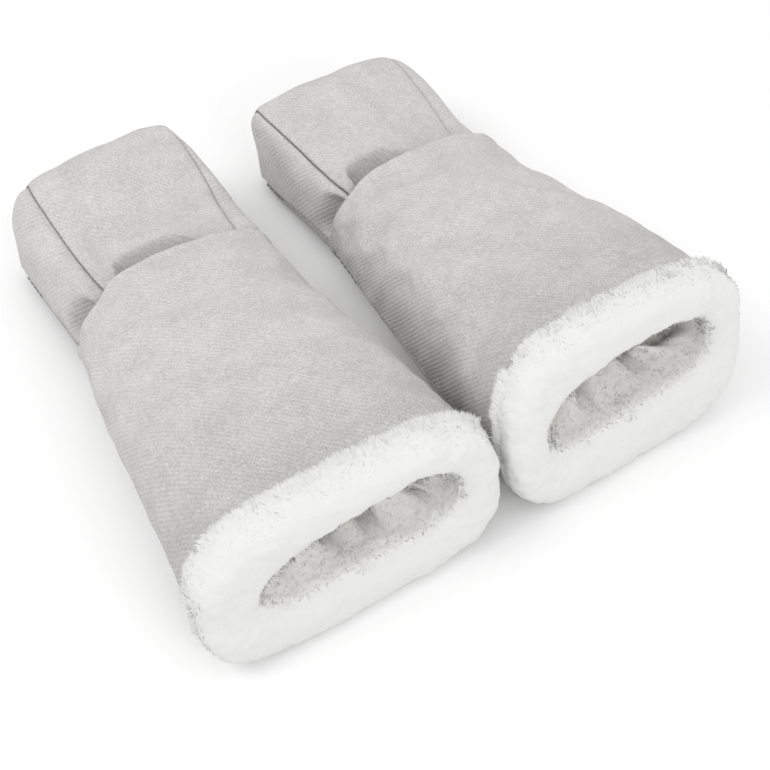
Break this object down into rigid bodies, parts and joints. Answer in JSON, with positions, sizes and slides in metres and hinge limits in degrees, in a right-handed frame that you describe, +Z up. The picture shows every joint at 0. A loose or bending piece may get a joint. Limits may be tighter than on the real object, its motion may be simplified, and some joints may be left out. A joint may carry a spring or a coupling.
{
  "type": "stroller hand muff",
  "caption": "Pair of padded hand muffs for a stroller handlebar: tapered cloth tubes with plush cuffs, and rear hoods with a strap that close round the bar.",
  "frame": {"origin": "centre of the underside of the pair's box, on the surface it lies on", "axes": "+X from the left muff to the right muff, along the handlebar; +Y from the mouths to the hoods; +Z up"},
  "size_m": [0.311, 0.3124, 0.098],
  "materials": {
    "woven_grey": "matte",
    "plush_white": "matte",
    "wadding_white": "matte",
    "binding_grey": "matte",
    "hook_tape_grey": "matte",
    "loop_tape_grey": "matte"
  },
  "bodies": {
    "left_muff": {"left_top_panel": "woven_grey", "left_base_panel": "woven_grey", "left_fur_cuff": "plush_white", "left_top_wadding": "wadding_white", "left_base_wadding": "wadding_white", "left_fleece_lining": "plush_white", "left_bar_flap": "woven_grey", "left_gusset_left": "woven_grey", "left_gusset_right": "woven_grey", "left_hem_left": "binding_grey", "left_hem_right": "binding_grey", "left_hood_lining": "plush_white", "left_loop_tape": "loop_tape_grey"},
    "left_strap": {"left_closure_strap": "woven_grey", "left_strap_binding": "binding_grey", "left_hook_tape": "hook_tape_grey"},
    "right_muff": {"right_top_panel": "woven_grey", "right_base_panel": "woven_grey", "right_fur_cuff": "plush_white", "right_top_wadding": "wadding_white", "right_base_wadding": "wadding_white", "right_fleece_lining": "plush_white", "right_bar_flap": "woven_grey", "right_gusset_left": "woven_grey", "right_gusset_right": "woven_grey", "right_hem_left": "binding_grey", "right_hem_right": "binding_grey", "right_hood_lining": "plush_white", "right_loop_tape": "loop_tape_grey"},
    "right_strap": {"right_closure_strap": "woven_grey", "right_strap_binding": "binding_grey", "right_hook_tape": "hook_tape_grey"}
  },
  "joints": [
    {"name": "left_strap_fold", "type": "hinge", "parent": "left_muff", "child": "left_strap", "pos_m": [-0.0755, 0.14578, 0.0013], "axis": [1, 0, 0], "range_deg": [0, 165]},
    {"name": "right_strap_fold", "type": "hinge", "parent": "right_muff", "child": "right_strap", "pos_m": [0.0815, 0.14578, 0.0013], "axis": [1, 0, 0], "range_deg": [0, 165]},
    {"name": "muff_spacing", "type": "slide", "parent": "left_muff", "child": "right_muff", "axis": [1, 0, 0], "range_m": [0, 0.2]}
  ]
}
